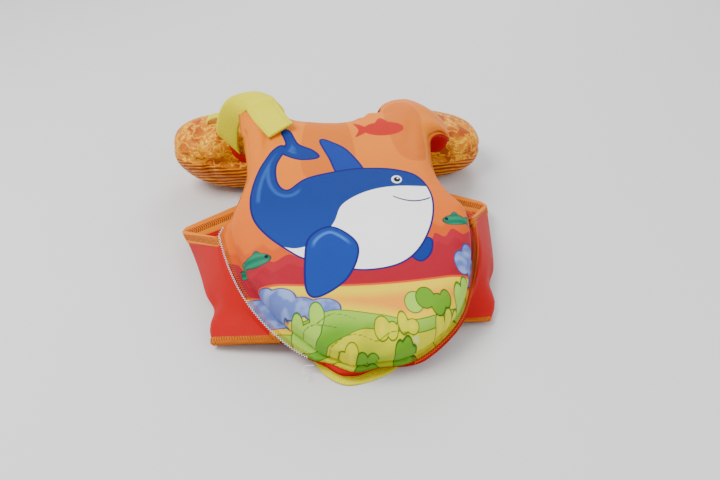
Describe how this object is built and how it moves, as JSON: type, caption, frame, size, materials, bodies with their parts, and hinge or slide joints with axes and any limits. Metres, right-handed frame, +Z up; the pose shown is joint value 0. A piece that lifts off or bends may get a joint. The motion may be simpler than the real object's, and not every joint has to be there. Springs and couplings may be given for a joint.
{
  "type": "child swim float vest",
  "caption": "Child's padded swim float vest lying flat, with a printed foam chest float, two shoulder arches, foam collar, neoprene side wings, webbing and an undone back buckle.",
  "frame": {"origin": "centre of the model's box in X and Y, on the surface that the vest lies on", "axes": "+Z up, -Y the vest's hem end, +Y its collar end, +X the right-hand side seen from the hem"},
  "size_m": [0.424, 0.464, 0.1529],
  "materials": {
    "print": "printed stretch knit laminated on foam, soft sheen",
    "foam": "closed-cell foam, matte",
    "red": "smooth neoprene laminate, soft sheen",
    "binding": "ribbed knit tape, matte",
    "webbing": "woven polyester webbing, matte",
    "golden": "printed stretch knit over foam, soft sheen",
    "stripes": "printed stretch knit over foam, soft sheen",
    "buckle": "moulded acetal"
  },
  "bodies": {
    "chest": {"chest_front_cover": "print", "chest_back_cover": "red", "chest_foam_front": "foam", "chest_foam_middle": "foam", "chest_foam_back": "foam", "left_shoulder_cover": "print", "right_shoulder_cover": "print", "left_shoulder_foam": "foam", "right_shoulder_foam": "foam", "left_shoulder_lining": "red", "right_shoulder_lining": "red", "shoulder_strap_wrap": "webbing"},
    "strap_end": {"strap_end_tab": "webbing"},
    "crotch_loop": {"crotch_strap": "webbing"},
    "collar": {"collar_top_cover": "golden", "collar_bottom_cover": "stripes", "collar_foam_left": "foam", "collar_foam_centre": "foam", "collar_foam_right": "foam", "left_collar_tab": "red", "right_collar_tab": "red", "collar_hang_loop": "webbing"},
    "left_wing": {"left_side_panel": "red", "left_armhole_binding": "binding", "left_hem_binding": "binding", "left_back_panel": "red", "left_belt_webbing": "webbing", "buckle_male_base": "buckle"},
    "right_wing": {"right_side_panel": "red", "right_armhole_binding": "binding", "right_hem_binding": "binding", "right_back_panel": "red", "right_belt_webbing": "webbing", "buckle_female": "buckle"},
    "prong_front": {"buckle_prong_front": "buckle"},
    "prong_rear": {"buckle_prong_rear": "buckle"},
    "slider": {"belt_slider": "buckle"}
  },
  "joints": [
    {"name": "collar_fold", "type": "hinge", "parent": "chest", "child": "collar", "pos_m": [0, 0.15638, 0.10151], "axis": [1, 0, 0], "range_deg": [0, 80]},
    {"name": "left_wing_swing", "type": "hinge", "parent": "chest", "child": "left_wing", "pos_m": [-0.0849, -0.1931, 0.0197], "axis": [-0.4177, 0.8563, 0.3036], "range_deg": [0, 80]},
    {"name": "right_wing_swing", "type": "hinge", "parent": "chest", "child": "right_wing", "pos_m": [0.0849, -0.1931, 0.0197], "axis": [-0.4177, -0.8563, -0.3036], "range_deg": [0, 80]},
    {"name": "strap_end_lift", "type": "hinge", "parent": "chest", "child": "strap_end", "pos_m": [-0.091, 0.10593, 0.14681], "axis": [-0.891, -0.4374, -0.1215], "range_deg": [0, 100]},
    {"name": "crotch_strap_swing", "type": "hinge", "parent": "chest", "child": "crotch_loop", "pos_m": [0, -0.174, 0.0012], "axis": [1, 0, 0], "range_deg": [0, 60]},
    {"name": "slider_slide", "type": "slide", "parent": "left_wing", "child": "slider", "axis": [1, 0, 0], "range_m": [-0.008, 0.012]},
    {"name": "prong_front_squeeze", "type": "hinge", "parent": "left_wing", "child": "prong_front", "pos_m": [-0.0255, -0.0315, 0.0047], "axis": [0, 0, 1], "range_deg": [0, 7], "stiffness_Nm_per_rad": 0.05},
    {"name": "prong_rear_squeeze", "type": "hinge", "parent": "left_wing", "child": "prong_rear", "pos_m": [-0.0255, -0.0085, 0.0047], "axis": [0, 0, 1], "range_deg": [-7, 0], "stiffness_Nm_per_rad": 0.05}
  ],
  "couplings": [
    {"joint": "prong_rear_squeeze", "follows": "prong_front_squeeze", "ratio": -1}
  ]
}
